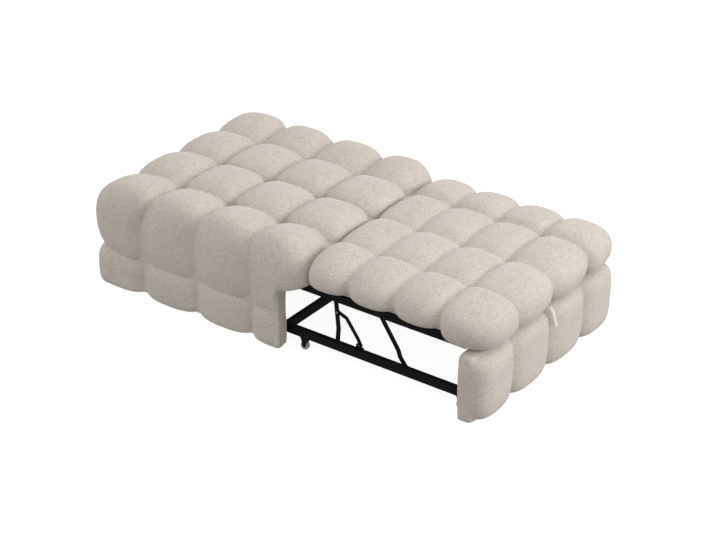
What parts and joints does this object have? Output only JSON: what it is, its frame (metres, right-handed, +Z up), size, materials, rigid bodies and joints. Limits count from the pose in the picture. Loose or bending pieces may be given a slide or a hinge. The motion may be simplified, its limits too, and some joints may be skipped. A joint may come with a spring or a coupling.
{
  "type": "fold out ottoman guest bed",
  "caption": "Upholstered square ottoman whose padded front rolls out on castors, with a slatted leaf and cushion on folding links that makes it a single bed.",
  "frame": {"origin": "middle of the footprint on the floor, bed opened out", "axes": "+X towards the pull-out foot end, +Y across the bed, +Z up"},
  "size_m": [1.9022, 0.972, 0.482],
  "materials": {
    "cover_fabric": "soft woven",
    "frame_steel": "satin black powder coat",
    "carcass_wood": "plain plywood",
    "slat_wood": "sanded",
    "pin_steel": "zinc plated",
    "glide_plastic": "matt",
    "wheel_plastic": "matt",
    "webbing": "woven tape"
  },
  "bodies": {
    "trundle": {"board_bracket_far": "frame_steel", "board_bracket_near": "frame_steel", "brace_catch_far": "frame_steel", "brace_catch_near": "frame_steel", "front_board": "carcass_wood", "front_castor_fork_far": "frame_steel", "front_castor_fork_near": "frame_steel", "front_cover": "cover_fabric", "lower_rail_far": "frame_steel", "lower_rail_near": "frame_steel", "pull_strap": "webbing", "rear_castor_fork_far": "frame_steel", "rear_castor_fork_near": "frame_steel", "trundle_front_tube": "frame_steel", "trundle_pivot_pins": "pin_steel", "trundle_rear_tube": "frame_steel"},
    "braces": {"brace_far": "frame_steel", "brace_near": "frame_steel"},
    "rear_links": {"brace_pins": "pin_steel", "rear_link_far": "frame_steel", "rear_link_near": "frame_steel"},
    "base": {"corner_block_far": "carcass_wood", "corner_block_near": "carcass_wood", "deck": "carcass_wood", "foot_pads": "glide_plastic", "guide_strip_far": "glide_plastic", "guide_strip_near": "glide_plastic", "head_panel": "carcass_wood", "large_cushion": "cover_fabric", "lower_tier_far": "cover_fabric", "lower_tier_head": "cover_fabric", "lower_tier_near": "cover_fabric", "overhang_wrap_far": "cover_fabric", "overhang_wrap_near": "cover_fabric", "side_panel_far": "carcass_wood", "side_panel_near": "carcass_wood", "side_wrap_far": "cover_fabric", "side_wrap_head": "cover_fabric", "side_wrap_near": "cover_fabric"},
    "front_castor_wheel_far": {"front_castor_wheel_far": "wheel_plastic"},
    "front_castor_wheel_near": {"front_castor_wheel_near": "wheel_plastic"},
    "front_links": {"front_link_far": "frame_steel", "front_link_near": "frame_steel"},
    "leaf": {"leaf_front_tube": "frame_steel", "leaf_middle_tube": "frame_steel", "leaf_pivot_pins": "pin_steel", "leaf_rear_tube": "frame_steel", "slats": "slat_wood", "small_cushion": "cover_fabric", "upper_rail_far": "frame_steel", "upper_rail_near": "frame_steel"},
    "rear_castor_wheel_far": {"rear_castor_wheel_far": "wheel_plastic"},
    "rear_castor_wheel_near": {"rear_castor_wheel_near": "wheel_plastic"}
  },
  "joints": [
    {"name": "trundle_slide", "type": "slide", "parent": "base", "child": "trundle", "axis": [1, 0, 0], "range_m": [0, 0.2]},
    {"name": "rear_link_hinge", "type": "hinge", "parent": "trundle", "child": "rear_links", "pos_m": [0.215, 0, 0.0695], "axis": [0, 1, 0], "range_deg": [0, 30]},
    {"name": "leaf_hinge", "type": "hinge", "parent": "rear_links", "child": "leaf", "pos_m": [0.2065, 0, 0.2795], "axis": [0, 1, 0], "range_deg": [-47.7, 0]},
    {"name": "front_link_hinge", "type": "hinge", "parent": "leaf", "child": "front_links", "pos_m": [0.4, 0, 0.2795], "axis": [0, 1, 0], "range_deg": [0, 42.3]},
    {"name": "brace_hinge", "type": "hinge", "parent": "rear_links", "child": "braces", "pos_m": [0.21368, 0, 0.20365], "axis": [0, 1, 0], "range_deg": [-39, 0]},
    {"name": "rear_wheel_spin_near", "type": "hinge", "parent": "trundle", "child": "rear_castor_wheel_near", "pos_m": [0.0699, -0.387, 0.017], "axis": [0, 1, 0], "continuous": true},
    {"name": "rear_wheel_spin_far", "type": "hinge", "parent": "trundle", "child": "rear_castor_wheel_far", "pos_m": [0.0699, 0.387, 0.017], "axis": [0, 1, 0], "continuous": true},
    {"name": "front_wheel_spin_near", "type": "hinge", "parent": "trundle", "child": "front_castor_wheel_near", "pos_m": [0.785, -0.387, 0.017], "axis": [0, 1, 0], "continuous": true},
    {"name": "front_wheel_spin_far", "type": "hinge", "parent": "trundle", "child": "front_castor_wheel_far", "pos_m": [0.785, 0.387, 0.017], "axis": [0, 1, 0], "continuous": true}
  ],
  "couplings": [
    {"joint": "leaf_hinge", "follows": "rear_link_hinge", "ratio": -1.59},
    {"joint": "front_link_hinge", "follows": "rear_link_hinge", "ratio": 1.41},
    {"joint": "brace_hinge", "follows": "rear_link_hinge", "ratio": -1.3}
  ]
}
